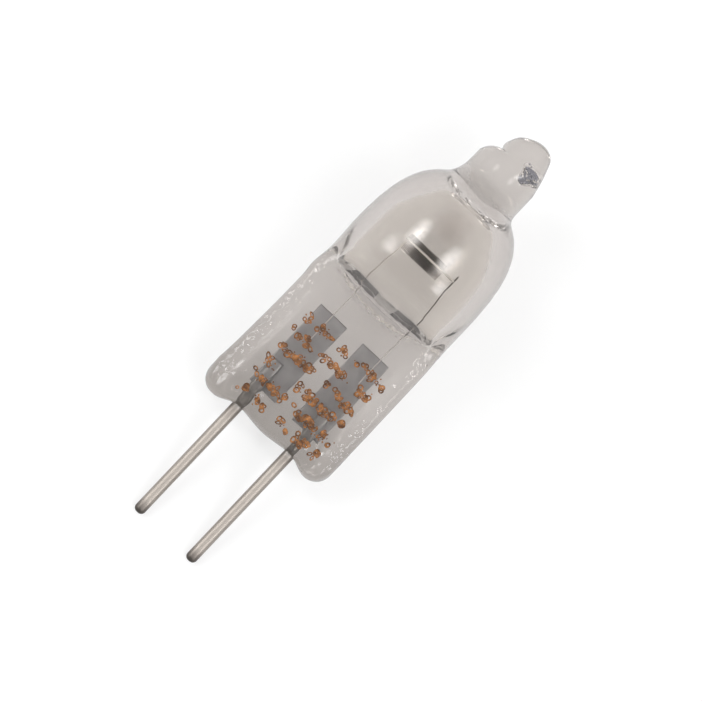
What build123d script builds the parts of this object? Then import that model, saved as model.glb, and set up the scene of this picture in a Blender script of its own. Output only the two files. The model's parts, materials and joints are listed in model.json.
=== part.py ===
from build123d import *
import os
from math import asin, atan2, cos, hypot, sin

# Two-pin halogen capsule lamp, as used for oven lights. Millimetres, +Z up.
# The lamp lies on a table as it comes to rest, on its two pin ends and the belly of the bulb, with the flat
# face of the seal up. Heights run along the lamp's own axis, from the plane where the pins leave the glass
# towards the tip. Widths (x) run across the flat face, and depths at right angles to it, away from the front.

# Contact pins
PIN_R = 0.35
PIN_SPACING = 4.0
PIN_END = -8.25
PIN_END_R = 0.3
PIN_ROUND_TOP = -0.2
PIN_FLAT_TOP = 3.45
PIN_FLAT_EDGE_R = 0.12

# Foils in the seal: the left and right edge of each
FOIL_EDGES = {"left": (-2.5, -0.5), "right": (0.73, 2.73)}
FOIL_FOOT = 1.58
FOIL_HEAD = 7.46
FOIL_THICK = 0.08

# Filament: a wire with two legs and a coil across the bulb
WIRE_R = 0.055
WIRE_SIDES = 4
COIL_LEFT = -1.48
COIL_R = 0.4
COIL_PITCH = 0.225
COIL_TURNS = 12
COIL_HEIGHT = 13.45
HOOK_X = 2.05
LEG_X = {"left": -1.58, "right": 2.1}
LEG_BEND_HEIGHT = 10.4
WELD_FOOT = 5.6
WELD_HEAD = 7.7
WELD_WIDTH = 0.24
WELD_THICK = 0.07

# Press seal: a web between two rims. Each rim's outer edge leans in a little, from the foot to the head
SEAL_FOOT = -0.6
SEAL_HEAD = 10.2
EDGE_FOOT = {"left": -4.66, "right": 4.53}
EDGE_HEAD = {"left": -4.42, "right": 4.47}
WEB_DEPTH = 2.5
RIM_WIDTH = 0.75
RIM_DEPTH = 3.1
RIM_EDGE_R = 0.5
RUN_OUT_HEIGHT = 8.5
RUN_OUT_DEPTH = 1.4

# Foot of the seal: rounded corners and three lobes, with a notch at each pin
CORNER_HEIGHT = 0.6
LOBE_X = {"left": -3.45, "right": 3.45}
LOBE_HEIGHT = {"left": -0.45, "right": -0.34}
LOBE_MIDDLE = -0.14
NOTCH_HEIGHT = 0.05
TRIM_REACH = 5.0

# Shoulder, from the flat seal to the round bulb: half width and half depth at each height
SHOULDER = {
    8.0: (4.40, 1.15),
    8.8: (4.46, 1.75),
    9.6: (4.44, 2.32),
    10.4: (4.39, 3.03),
    11.3: (4.38, 3.85),
    12.2: (4.42, 4.42),
}
BULB_FOOT = max(SHOULDER)
BULB_R = SHOULDER[BULB_FOOT][0]

# Dome: the side and crown of the bulb, up to a straight neck. Radius and height of each point
SIDE_MIDDLE = (4.38, 13.6)
CROWN_FOOT = (4.20, 15.0)
CROWN_HEAD = (2.55, 17.85)
NECK_R = 2.04
NECK_FOOT = 18.3
NECK_HEAD = 19.9

# Tip: the neck leans over to a smaller bead. Centre and radius of the neck at each height
LEAN = {NECK_HEAD: (0, NECK_R), 20.25: (0.03, 1.96), 20.55: (0.1, 1.77), 20.85: (0.33, 1.53)}
BEAD_X = 0.38
BEAD_HEIGHT = 21.05
BEAD_R = 1.5

# Funnel-shaped bubble in the tip, where the exhaust tube was pinched off
BUBBLE_FOOT = (0.75, 20.55)
BUBBLE_FOOT_R = 0.14
BUBBLE_HEAD = (1.1, 21.45)
BUBBLE_HEAD_R = 0.45

# Cavity, from a slot above the seal to the round bulb: half width and half depth at each height
CAVITY = {
    9.62: (3.0, 0.2),
    10.0: (3.12, 1.12),
    10.6: (3.28, 1.95),
    11.3: (3.42, 2.7),
    12.2: (3.47, 3.47),
}
CAVITY_FOOT = max(CAVITY)
CAVITY_R = CAVITY[CAVITY_FOOT][0]
CAVITY_CROWN_FOOT = (3.3, 14.5)
CAVITY_CROWN_HEAD = (1.45, 17.1)

# Lying stance: the tilt at which the rounded pin ends and the bulb's widest ring touch the table together
toe_height = PIN_END + PIN_END_R
toe_depth = PIN_R - PIN_END_R
rest_run = BULB_FOOT - toe_height
rest_drop = BULB_R - toe_depth
tilt = atan2(rest_drop, rest_run) - asin(PIN_END_R / hypot(rest_run, rest_drop))
reach_left = toe_height * cos(tilt) - toe_depth * sin(tilt) - PIN_END_R
reach_right = BEAD_HEIGHT * cos(tilt) + BEAD_R
LAMP = Plane(
    origin=(-(reach_left + reach_right) / 2, 0, PIN_END_R + toe_depth * cos(tilt) - toe_height * sin(tilt)),
    x_dir=(0, -1, 0),
    z_dir=(cos(tilt), 0, sin(tilt)),
)
FRONT = Plane(LAMP.origin, x_dir=LAMP.x_dir, z_dir=-LAMP.y_dir)
LAMP_AXIS = Axis(LAMP.origin, LAMP.z_dir)
PIN_X = {"left": -PIN_SPACING / 2, "right": PIN_SPACING / 2}


def lamp_point(x, depth, height):
    return LAMP.from_local_coords(Vector(x, depth, height))


def wire_run(start, end):
    """A straight stretch of the filament's wire, long enough at both ends to fill the bends there."""
    along = (end - start).normalized()
    with BuildPart() as stretch:
        with BuildSketch(Plane(start - along * WIRE_R, z_dir=along)):
            RegularPolygon(WIRE_R, WIRE_SIDES)
        extrude(amount=(end - start).length + 2 * WIRE_R)
    return stretch.part


def leg_bend(x):
    return lamp_point(x, -WELD_THICK / 2, LEG_BEND_HEIGHT)


def leg_foot(x):
    """The sealed end of a leg: pressed flat on the foil, then straight up into the bulb."""
    with BuildPart() as foot:
        with BuildSketch(LAMP.offset(WELD_FOOT)):
            with Locations((x, -WELD_THICK / 2)):
                Rectangle(WELD_WIDTH, WELD_THICK)
        extrude(amount=WELD_HEAD - WELD_FOOT)
        add(wire_run(lamp_point(x, -WELD_THICK / 2, WELD_HEAD), leg_bend(x)))
    return foot.part


def rim_bar(side):
    """One rim of the seal, drawn on its outer face: full depth, then running out into the shoulder."""
    edge_foot = lamp_point(EDGE_FOOT[side], 0, SEAL_FOOT)
    edge_head = lamp_point(EDGE_HEAD[side], 0, SEAL_HEAD)
    lean = (edge_head - edge_foot).normalized()
    inward = lean.cross(LAMP.y_dir) * (1 if side == "right" else -1)
    face = Plane(edge_foot, x_dir=lean, z_dir=inward)
    with BuildPart() as bar:
        with BuildSketch(face):
            Polygon(
                (0, -RIM_DEPTH / 2),
                (RUN_OUT_HEIGHT - SEAL_FOOT, -RIM_DEPTH / 2),
                ((edge_head - edge_foot).length, -RUN_OUT_DEPTH / 2),
                ((edge_head - edge_foot).length, RUN_OUT_DEPTH / 2),
                (RUN_OUT_HEIGHT - SEAL_FOOT, RIM_DEPTH / 2),
                (0, RIM_DEPTH / 2),
                align=None,
            )
        extrude(amount=RIM_WIDTH)
        outer_face = bar.faces().sort_by(Axis(edge_foot, inward))[0]
        fillet(outer_face.edges().sort_by(LAMP_AXIS)[1:], RIM_EDGE_R)
    return bar.part


os.makedirs("parts", exist_ok=True)
sealed_metal = []

# Contact pins: round wire with a rounded end, pressed flat where it lies on the foil in the seal
for side, x in PIN_X.items():
    with BuildPart() as pin:
        with BuildSketch(LAMP.offset(PIN_END)):
            with Locations((x, 0)):
                Circle(PIN_R)
        extrude(amount=PIN_ROUND_TOP - PIN_END)
        fillet(pin.edges().sort_by(LAMP_AXIS)[0], PIN_END_R)
        with BuildSketch(LAMP.offset(PIN_ROUND_TOP)) as flat:
            with Locations((x, -PIN_R / 2)):
                Rectangle(2 * PIN_R, PIN_R)
            fillet(flat.vertices().sort_by(Axis.Y)[:2], PIN_FLAT_EDGE_R)
        extrude(amount=PIN_FLAT_TOP - PIN_ROUND_TOP)
    pin.part.label = f"contact_pin_{side}"
    export_step(pin.part, f"parts/contact_pin_{side}.step")
    sealed_metal.append(pin.part)

# Foils: thin strips in the middle of the seal, behind the flats of the pins
for side, (left, right) in FOIL_EDGES.items():
    with BuildPart() as foil:
        with BuildSketch(LAMP.offset(FOIL_FOOT)):
            with Locations(((left + right) / 2, FOIL_THICK / 2)):
                Rectangle(right - left, FOIL_THICK)
        extrude(amount=FOIL_HEAD - FOIL_FOOT)
    foil.part.label = f"seal_foil_{side}"
    export_step(foil.part, f"parts/seal_foil_{side}.step")
    sealed_metal.append(foil.part)

# Filament: one wire. The left leg runs up into the front of the coil. The coil's other end runs straight on
# to the hook, half a turn over the top, and down into the right leg.
coil_plane = Plane(lamp_point(COIL_LEFT, 0, COIL_HEIGHT), x_dir=-LAMP.y_dir, z_dir=LAMP.x_dir)
hook_plane = Plane(lamp_point(HOOK_X, 0, COIL_HEIGHT), x_dir=-LAMP.y_dir, z_dir=LAMP.x_dir)
coil_path = coil_plane * Helix(COIL_PITCH, COIL_PITCH * COIL_TURNS, COIL_R, lefthand=True)
hook_path = hook_plane * Helix(COIL_PITCH, COIL_PITCH / 2, COIL_R, lefthand=True)
leg_feet = [leg_foot(x) for x in LEG_X.values()]
with BuildPart() as filament:
    for path in (coil_path, hook_path):
        with BuildSketch(Plane(path @ 0, z_dir=path % 0)):
            RegularPolygon(WIRE_R, WIRE_SIDES)
        sweep(path=path, is_frenet=True)
    add(wire_run(leg_bend(LEG_X["left"]), coil_path @ 0))
    add(wire_run(coil_path @ 1, hook_path @ 0))
    add(wire_run(leg_bend(LEG_X["right"]), hook_path @ 1))
    add(leg_feet)
filament.part.label = "filament"
export_step(filament.part, "parts/filament.step")
sealed_metal.extend(leg_feet)

# Quartz envelope: the press seal, the shoulder that opens into the round bulb, the dome and the sealed tip
rim_bars = [rim_bar(side) for side in EDGE_FOOT]
with BuildPart() as envelope:
    with BuildSketch(FRONT):
        web_left = EDGE_HEAD["left"] + RIM_WIDTH / 2
        web_right = EDGE_HEAD["right"] - RIM_WIDTH / 2
        with Locations(((web_left + web_right) / 2, (SEAL_FOOT + SEAL_HEAD) / 2)):
            Rectangle(web_right - web_left, SEAL_HEAD - SEAL_FOOT)
    extrude(amount=WEB_DEPTH / 2, both=True)
    add(rim_bars)

    # The foot is trimmed to its corners, lobes and notches
    with BuildSketch(FRONT):
        with BuildLine():
            for side, edge in EDGE_FOOT.items():
                lobe = (LOBE_X[side], LOBE_HEIGHT[side])
                corner = TangentArc((edge, CORNER_HEIGHT), lobe, tangent=(0, -1))
                TangentArc(lobe, (PIN_X[side], NOTCH_HEIGHT), tangent=corner % 1)
            ThreePointArc((PIN_X["left"], NOTCH_HEIGHT), (0, LOBE_MIDDLE), (PIN_X["right"], NOTCH_HEIGHT))
            Polyline(
                (EDGE_FOOT["right"], CORNER_HEIGHT),
                (TRIM_REACH, CORNER_HEIGHT),
                (TRIM_REACH, 2 * SEAL_FOOT),
                (-TRIM_REACH, 2 * SEAL_FOOT),
                (-TRIM_REACH, CORNER_HEIGHT),
                (EDGE_FOOT["left"], CORNER_HEIGHT),
            )
        make_face()
    extrude(amount=RIM_DEPTH, both=True, mode=Mode.SUBTRACT)

    for height, (half_width, half_depth) in SHOULDER.items():
        with BuildSketch(LAMP.offset(height)):
            Ellipse(half_width, half_depth)
    loft(ruled=True)

    with BuildSketch(FRONT):
        with BuildLine():
            bulb_side = ThreePointArc((BULB_R, BULB_FOOT), SIDE_MIDDLE, CROWN_FOOT)
            TangentArc(CROWN_FOOT, CROWN_HEAD, tangent=bulb_side % 1)
            Polyline(
                CROWN_HEAD,
                (NECK_R, NECK_FOOT),
                (NECK_R, NECK_HEAD),
                (0, NECK_HEAD),
                (0, BULB_FOOT),
                (BULB_R, BULB_FOOT),
            )
        make_face()
    revolve(axis=LAMP_AXIS)
    for height, (x, radius) in LEAN.items():
        with BuildSketch(LAMP.offset(height)):
            with Locations((x, 0)):
                Circle(radius)
    loft(ruled=True)
    with Locations(lamp_point(BEAD_X, 0, BEAD_HEIGHT)):
        Sphere(BEAD_R)

    # Hollow of the bulb, closed by a small flat roof under the neck
    for height, (half_width, half_depth) in CAVITY.items():
        with BuildSketch(LAMP.offset(height)):
            Ellipse(half_width, half_depth)
    loft(ruled=True, mode=Mode.SUBTRACT)
    with BuildSketch(FRONT):
        with BuildLine():
            hollow_side = TangentArc((CAVITY_R, CAVITY_FOOT), CAVITY_CROWN_FOOT, tangent=(0, 1))
            TangentArc(CAVITY_CROWN_FOOT, CAVITY_CROWN_HEAD, tangent=hollow_side % 1)
            Polyline(
                CAVITY_CROWN_HEAD,
                (0, CAVITY_CROWN_HEAD[1]),
                (0, CAVITY_FOOT),
                (CAVITY_R, CAVITY_FOOT),
            )
        make_face()
    revolve(axis=LAMP_AXIS, mode=Mode.SUBTRACT)

    # Bubble in the tip
    bubble_foot = lamp_point(BUBBLE_FOOT[0], 0, BUBBLE_FOOT[1])
    bubble_rise = lamp_point(BUBBLE_HEAD[0], 0, BUBBLE_HEAD[1]) - bubble_foot
    bubble_plane = Plane(bubble_foot, z_dir=bubble_rise)
    for height, radius in ((0, BUBBLE_FOOT_R), (bubble_rise.length, BUBBLE_HEAD_R)):
        with BuildSketch(bubble_plane.offset(height)):
            Circle(radius)
    loft(mode=Mode.SUBTRACT)

    # The glass closes tightly round the metal in the seal
    add(sealed_metal, mode=Mode.SUBTRACT)
envelope.part.label = "quartz_envelope"
export_step(envelope.part, "parts/quartz_envelope.step")
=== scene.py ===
# %% [markdown]
# # Oven light bulb
# This lesson dresses a small capsule lamp: a clear quartz bulb with a flat pressed seal, two contact pins,
# two foils in the seal and a coiled filament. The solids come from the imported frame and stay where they
# are. Each cell makes one piece or one finish, and prints what it made.

# %% Load the frame
import json
import math

import bmesh
import bpy
import numpy as np
from mathutils import Matrix, Vector, noise


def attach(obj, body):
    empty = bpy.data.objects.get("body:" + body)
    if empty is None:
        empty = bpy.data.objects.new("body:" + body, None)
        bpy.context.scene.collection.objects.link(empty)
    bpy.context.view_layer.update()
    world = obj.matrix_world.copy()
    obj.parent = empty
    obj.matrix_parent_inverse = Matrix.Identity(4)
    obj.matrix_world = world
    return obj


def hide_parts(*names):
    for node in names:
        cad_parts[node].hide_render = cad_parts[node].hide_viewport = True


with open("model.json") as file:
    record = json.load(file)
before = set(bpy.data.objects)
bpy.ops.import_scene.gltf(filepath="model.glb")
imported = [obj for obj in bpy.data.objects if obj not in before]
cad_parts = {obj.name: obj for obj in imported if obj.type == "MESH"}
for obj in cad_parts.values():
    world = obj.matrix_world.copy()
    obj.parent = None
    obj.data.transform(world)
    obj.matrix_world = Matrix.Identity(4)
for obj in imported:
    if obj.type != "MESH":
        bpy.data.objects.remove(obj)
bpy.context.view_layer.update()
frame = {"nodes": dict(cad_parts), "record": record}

print("nodes:", sorted(frame["nodes"]))

# %% [markdown]
# ## The lamp's own axes
# The lamp lies on the table as it comes to rest, a little tilted, so its parts are easier to draw on axes
# of its own: x across the flat face of the seal, depth away from the front, and height along the lamp from
# where the pins leave the glass. The frame gives them: the two pin mounts stand either side of the axis and
# point along it. Everything below is drawn in millimetres on these axes, and one matrix takes it to the
# table.

# %% Lamp axes from the pin mounts
MM = 0.001
PIN_MOUNT_HEIGHT = -4.075

mounts = {mount["name"]: mount for mount in frame["record"]["mounts"]}
mount_left, mount_right = (Vector(mounts[name]["pos_m"]) for name in ("pin_left", "pin_right"))
lamp_x = (mount_right - mount_left).normalized()
lamp_z = -Vector(mounts["pin_left"]["axis"]).normalized()
lamp_y = lamp_z.cross(lamp_x)
lamp_foot = (mount_left + mount_right) / 2 - PIN_MOUNT_HEIGHT * MM * lamp_z
LAMP = Matrix.Translation(lamp_foot) @ Matrix((lamp_x, lamp_y, lamp_z)).transposed().to_4x4()
LAMP_MM = LAMP @ Matrix.Scale(MM, 4)
print("lamp axis rises", round(math.degrees(math.asin(lamp_z.z)), 2), "degrees")

# %% [markdown]
# ## Camera
# The picture looks square-on at the flat face of the seal, with the lamp's axis turned in the frame. A long
# lens keeps the sides parallel, as in a product shot, and the field of view comes from the picture's scale.
# Thick glass passes light on many times from wall to wall, and a path that is cut short turns black, so the
# paths of light may be longer than Blender's default.

# %% Camera
PICTURE_SIDE = 702  # pixels
PICTURE_SCALE = 17.7  # pixels to the millimetre
PICTURE_TURN = math.radians(46.6)
AIM = Vector((0.534, 0, 6.66))
CAMERA_DISTANCE = 300
SENSOR = 36
GLASS_BOUNCES = 32

picture_right = math.cos(PICTURE_TURN) * lamp_z + math.sin(PICTURE_TURN) * lamp_x
picture_up = math.sin(PICTURE_TURN) * lamp_z - math.cos(PICTURE_TURN) * lamp_x
VIEW_TURN = Matrix((picture_right, picture_up, -lamp_y)).transposed().to_4x4()
camera_data = bpy.data.cameras.new("camera")
camera_data.sensor_width = SENSOR
camera_data.lens = SENSOR * CAMERA_DISTANCE * PICTURE_SCALE / PICTURE_SIDE
camera_data.clip_start = 0.01
camera = bpy.data.objects.new("camera", camera_data)
camera.matrix_world = VIEW_TURN
camera.location = LAMP_MM @ AIM - lamp_y * CAMERA_DISTANCE * MM
bpy.context.scene.collection.objects.link(camera)
bpy.context.scene.camera = camera
bpy.context.scene.view_settings.view_transform = "Standard"
bpy.context.scene.cycles.max_bounces = GLASS_BOUNCES
bpy.context.scene.cycles.glossy_bounces = GLASS_BOUNCES
bpy.context.scene.cycles.transmission_bounces = GLASS_BOUNCES
print("lens", round(camera_data.lens, 1), "mm")

# %% [markdown]
# ## Three small helpers
# A colour is written as the hex value that a screen shows, and turned to the linear values that the shaders
# use. One function adds a node with its settings, links and colour stops, in a material or in a geometry
# tree. One function starts a material and hands back the shader and the object's own coordinates, in
# millimetres on the lamp's axes, so that each pattern can be drawn at its real size.

# %% Helpers
def linear(code):
    """The linear colour, with alpha, of an sRGB hex value."""
    shown = [int(code[i:i + 2], 16) / 255 for i in (1, 3, 5)]
    return [c / 12.92 if c <= 0.04045 else ((c + 0.055) / 1.055) ** 2.4 for c in shown] + [1.0]


def add_node(tree, kind, settings=None, inputs=None, stops=()):
    """Adds one node: its properties, values or sockets to link from, and the stops of a colour ramp."""
    node = tree.nodes.new(kind)
    for name, value in (settings or {}).items():
        setattr(node, name, value)
    for name, value in (inputs or {}).items():
        if isinstance(value, bpy.types.NodeSocket):
            tree.links.new(value, node.inputs[name])
        else:
            node.inputs[name].default_value = value
    if stops:
        elements = node.color_ramp.elements
        elements[0].position, elements[1].position = stops[0][0], stops[-1][0]
        for place, _ in stops[1:-1]:
            elements.new(place)
        for element, (_, code) in zip(elements, stops):
            element.color = linear(code)
    return node


def start_material(name, **settings):
    """A material with a Principled shader, and the coordinates that its patterns read."""
    material = bpy.data.materials.new(name)
    material.use_nodes = True
    tree = material.node_tree
    shader = tree.nodes["Principled BSDF"]
    for socket, value in settings.items():
        shader.inputs[socket.replace("_", " ")].default_value = value
    to_lamp = LAMP_MM.inverted()
    on_lamp = add_node(tree, "ShaderNodeMapping", {}, {
        "Vector": add_node(tree, "ShaderNodeTexCoord").outputs["Object"],
        "Location": to_lamp.translation,
        "Rotation": to_lamp.to_euler(),
        "Scale": (1 / MM, 1 / MM, 1 / MM),
    })
    return material, tree, shader, on_lamp.outputs["Vector"]


print("white is", linear("#ffffff"))

# %% [markdown]
# ## Fused quartz
# The envelope is clear fused quartz, blown and pressed while it was soft. It is fire-polished, so it is
# glossy, with a slow ripple that bends the reflections. A refracting shader with the low index of quartz
# gives the bright walls, the lens effect and the mirror-like foot of the hollow. The grey of the glass is
# painted shade, a tint that stands for the dim surroundings which clear glass shows. A strong tint in the
# depth of the glass could give that grey, but it turns each long path through the glass black. So there is
# only a trace of one, and the grey comes from thin painted tints on the skins, which the next two cells
# make.

# %% Quartz material
QUARTZ_RIPPLE = 1.4
QUARTZ_RIPPLE_DEPTH = 0.03
QUARTZ_TINT = 18.0

quartz, tree, shader, on_lamp = start_material(
    "fused_quartz_blown_and_pressed", Roughness=0.0, IOR=1.458, Transmission_Weight=1.0,
)
ripple = add_node(tree, "ShaderNodeTexNoise", {}, {
    "Vector": on_lamp, "Scale": 1 / QUARTZ_RIPPLE, "Detail": 2.0,
})
bump = add_node(tree, "ShaderNodeBump", {}, {
    "Strength": 0.25, "Distance": QUARTZ_RIPPLE_DEPTH * MM, "Height": ripple.outputs["Fac"],
})
tree.links.new(bump.outputs["Normal"], shader.inputs["Normal"])
# Painted shade: a faint grey tint in the depth of the glass.
grey_shade = add_node(tree, "ShaderNodeVolumeAbsorption", {}, {
    "Color": linear("#7c766f"), "Density": QUARTZ_TINT,
})
tree.links.new(grey_shade.outputs["Volume"], tree.nodes["Material Output"].inputs["Volume"])
print("quartz ready:", quartz.name)

# %% [markdown]
# ## The tint inside
# The wall of the hollow has a faint warm tint, with a soft darker patch on the wall above the coil. The
# bubble in the tip is tinted a dark blue-grey: painted shade for the dark look of an air bubble in glass.
# Materials of their own could tint these walls, but the glass between them would then belong to two
# materials, and its depth would go wrong. So each point of the mesh carries the number of its skin: 0
# outside, 1 on the wall of the hollow, 2 in the bubble, and one material tints each skin by itself. The
# darker patch is a soft round patch, measured across and along the lamp.

# %% Tint inside
DARK_PATCH_MIDDLE = (-0.1, 0, 15.7)
DARK_PATCH_REACH = 1.7

which_skin = add_node(tree, "ShaderNodeAttribute", {"attribute_name": "skin_number"})
in_bubble = add_node(tree, "ShaderNodeMath", {"operation": "SUBTRACT"}, {
    0: which_skin.outputs["Fac"], 1: 1.0,
})
front_on = add_node(tree, "ShaderNodeVectorMath", {"operation": "MULTIPLY"}, {0: on_lamp, 1: (1, 0, 1)})
from_dark_patch = add_node(tree, "ShaderNodeVectorMath", {"operation": "DISTANCE"}, {
    0: front_on.outputs["Vector"], 1: DARK_PATCH_MIDDLE,
})
dark_patch = add_node(tree, "ShaderNodeMapRange", {"interpolation_type": "SMOOTHSTEP"}, {
    "Value": from_dark_patch.outputs["Value"], "From Min": 0.0, "From Max": DARK_PATCH_REACH,
})
hollow_tint = add_node(tree, "ShaderNodeMix", {"data_type": "RGBA"}, {
    0: dark_patch.outputs["Result"], 6: linear("#e4dfda"), 7: linear("#fffdf9"),
})
# Painted shade: the bubble's skin is tinted a dark blue-grey.
inside = add_node(tree, "ShaderNodeMix", {"data_type": "RGBA"}, {
    0: in_bubble.outputs["Value"], 6: hollow_tint.outputs[2], 7: linear("#a4a7b2"),
})
print("bloom at height", DARK_PATCH_MIDDLE[2], "mm")

# %% [markdown]
# ## The tint outside
# A grey tint covers the outer skin, darker towards the seal's foot: painted shade for the grey of the glass
# and for the darker patches at its foot. A noise breaks the border of the darker foot into clouds. A Layer
# Weight node turns the tint dark grey towards the edges of the glass: painted shade for the dark outline of
# the glass.

# %% Tint outside
FOOT_SHADE_PATCH = 1.6
FOOT_SHADE_DRIFT = 3.0
FOOT_SHADE_REACH = 5.0
EDGE_SLANT = 0.55

apart = add_node(tree, "ShaderNodeSeparateXYZ", {}, {"Vector": on_lamp})
cloud = add_node(tree, "ShaderNodeTexNoise", {}, {
    "Vector": on_lamp, "Scale": 1 / FOOT_SHADE_PATCH, "Detail": 3.0,
})
drift = add_node(tree, "ShaderNodeMath", {"operation": "MULTIPLY_ADD"}, {
    0: cloud.outputs["Fac"], 1: FOOT_SHADE_DRIFT, 2: apart.outputs["Z"],
})
clear = add_node(tree, "ShaderNodeMapRange", {}, {
    "Value": drift.outputs["Value"], "From Min": FOOT_SHADE_DRIFT / 2, "From Max": FOOT_SHADE_DRIFT / 2 + FOOT_SHADE_REACH,
})
# Painted shade: grey over the whole outer skin, darker towards the seal's foot.
outside = add_node(tree, "ShaderNodeMix", {"data_type": "RGBA"}, {
    0: clear.outputs["Result"], 6: linear("#b3ada8"), 7: linear("#cec8c4"),
})
slant = add_node(tree, "ShaderNodeLayerWeight", {}, {"Blend": 0.5})
at_edge = add_node(tree, "ShaderNodeMapRange", {"interpolation_type": "SMOOTHSTEP"}, {
    "Value": slant.outputs["Facing"], "From Min": EDGE_SLANT, "From Max": 1.0,
})
# Painted shade: the tint turns dark grey at the glass's edges.
painted_edge_shade = add_node(tree, "ShaderNodeMix", {"data_type": "RGBA"}, {
    0: at_edge.outputs["Result"], 6: outside.outputs[2], 7: linear("#4c4947"),
})
skin_tint = add_node(tree, "ShaderNodeMix", {"data_type": "RGBA"}, {
    0: which_skin.outputs["Fac"], 6: painted_edge_shade.outputs[2], 7: inside.outputs[2],
})
tree.links.new(skin_tint.outputs[2], shader.inputs["Base Color"])
print("smoke clears by height", FOOT_SHADE_REACH, "mm")

# %% [markdown]
# ## Drawn pin wire
# The pins are drawn wire, warm silver, with a dull skin. Drawing leaves fine lines along the wire. An
# anisotropic shader could give the gleam of the lines alone, but real lines also break it up. So they are a
# noise that is stretched along the lamp's axis, coarser than real ones so that they show. A ramp over the
# height makes the pin very dark at its cut end, a little darker where it enters the glass, and paler inside
# the seal.

# %% Pin material
DRAW_LINE = 0.06
DRAW_STRETCH = 0.02
DRAW_DEPTH = 0.01
PIN_TONE_FOOT = -8.4
PIN_TONE_HEAD = 3.6
PIN_TONES = [
    (0.0, "#141210"), (0.05, "#746e69"), (0.09, "#9e9790"), (0.6, "#9e9790"), (0.68, "#8a837d"),
    (0.71, "#989490"), (0.8, "#9e9c99"), (0.88, "#bcbcbd"),
]

pin_metal, tree, shader, on_lamp = start_material("drawn_nickel_wire", Metallic=1.0, Roughness=0.45)
stretched = add_node(tree, "ShaderNodeMapping", {}, {"Vector": on_lamp, "Scale": (1, 1, DRAW_STRETCH)})
lines = add_node(tree, "ShaderNodeTexNoise", {}, {
    "Vector": stretched.outputs["Vector"], "Scale": 1 / DRAW_LINE, "Detail": 3.0,
})
apart = add_node(tree, "ShaderNodeSeparateXYZ", {}, {"Vector": on_lamp})
place = add_node(tree, "ShaderNodeMapRange", {}, {
    "Value": apart.outputs["Z"], "From Min": PIN_TONE_FOOT, "From Max": PIN_TONE_HEAD,
})
pin_tone = add_node(tree, "ShaderNodeValToRGB", {}, {"Fac": place.outputs["Result"]}, PIN_TONES)
tree.links.new(pin_tone.outputs["Color"], shader.inputs["Base Color"])
bump = add_node(tree, "ShaderNodeBump", {}, {
    "Strength": 0.3, "Distance": DRAW_DEPTH * MM, "Height": lines.outputs["Fac"],
})
tree.links.new(bump.outputs["Normal"], shader.inputs["Normal"])
print("pin wire ready:", pin_metal.name)

# %% [markdown]
# ## Molybdenum foil
# The foils are thin molybdenum strips, rolled and etched to a satin grey, so they scatter light and show
# faint blotches. A flat grey would look like card. One noise of about a millimetre drives both the grey and
# the roughness, since the etching that makes a blotch paler also makes it rougher.

# %% Foil material
BLOTCH_SIZE = 1.0

foil_metal, tree, shader, on_lamp = start_material("etched_molybdenum_foil", Metallic=1.0)
blotch = add_node(tree, "ShaderNodeTexNoise", {}, {
    "Vector": on_lamp, "Scale": 1 / BLOTCH_SIZE, "Detail": 4.0,
}).outputs["Fac"]
grey = add_node(tree, "ShaderNodeValToRGB", {}, {"Fac": blotch}, [(0.35, "#b4b4b6"), (0.7, "#c6c6c8")])
satin = add_node(tree, "ShaderNodeMapRange", {}, {"Value": blotch, "To Min": 0.4, "To Max": 0.6})
tree.links.new(grey.outputs["Color"], shader.inputs["Base Color"])
tree.links.new(satin.outputs["Result"], shader.inputs["Roughness"])
print("foil ready:", foil_metal.name)

# %% [markdown]
# ## Tungsten wire
# The filament is drawn tungsten with a satin skin. It is dark grey-brown in the middle of the coil and near
# white at the coil's two ends: those bright ends are painted highlights. It is clean and pale where the
# glass holds it. The straight tail in front of the coil is near white too: a painted highlight, the bright
# line along the coil's front. Materials of their own would leave hard borders on one wire, so one material
# reads where it is: a ramp across the lamp gives the tones along the coil, a range over the height brings
# back the clean legs in the glass, and a range over the depth gives the painted highlight on the tail.

# %% Tungsten material
WIRE_ENDS = (-1.7, 2.3)
WIRE_TONES = [
    (-1.55, "#c4c0bb"), (-1.48, "#e0dcd8"), (-1.2, "#c0bbb6"), (-0.75, "#7c766f"), (-0.3, "#645e57"),
    (0.4, "#645e57"), (0.75, "#8e8882"), (1.15, "#d8d4d0"), (1.6, "#8a857f"), (2.1, "#6a655f"),
]
CLEAN_BETWEEN = (10.0, 9.4)
HIGHLIGHT_TAIL_DEPTHS = (-0.43, -0.44)

tungsten, tree, shader, on_lamp = start_material("tungsten_wire_painted_highlights", Metallic=1.0, Roughness=0.55)
apart = add_node(tree, "ShaderNodeSeparateXYZ", {}, {"Vector": on_lamp})
along, in_glass, on_highlight_tail = (
    add_node(tree, "ShaderNodeMapRange", {}, {
        "Value": apart.outputs[axis], "From Min": start, "From Max": end,
    }).outputs["Result"]
    for axis, (start, end) in (("X", WIRE_ENDS), ("Z", CLEAN_BETWEEN), ("Y", HIGHLIGHT_TAIL_DEPTHS))
)
# Painted highlights: the ramp is near white at the coil's two ends.
tones_and_highlights = add_node(tree, "ShaderNodeValToRGB", {}, {"Fac": along}, [
    ((x - WIRE_ENDS[0]) / (WIRE_ENDS[1] - WIRE_ENDS[0]), code) for x, code in WIRE_TONES
])
clean = add_node(tree, "ShaderNodeMix", {"data_type": "RGBA"}, {
    0: in_glass, 6: tones_and_highlights.outputs["Color"], 7: linear("#f0eeec"),
})
# Painted highlight: the tail in front of the coil is near white.
wire_tone = add_node(tree, "ShaderNodeMix", {"data_type": "RGBA"}, {
    0: on_highlight_tail, 6: clean.outputs[2], 7: linear("#f4f2ee"),
})
tree.links.new(wire_tone.outputs[2], shader.inputs["Base Color"])
print("tungsten ready:", tungsten.name)

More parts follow.
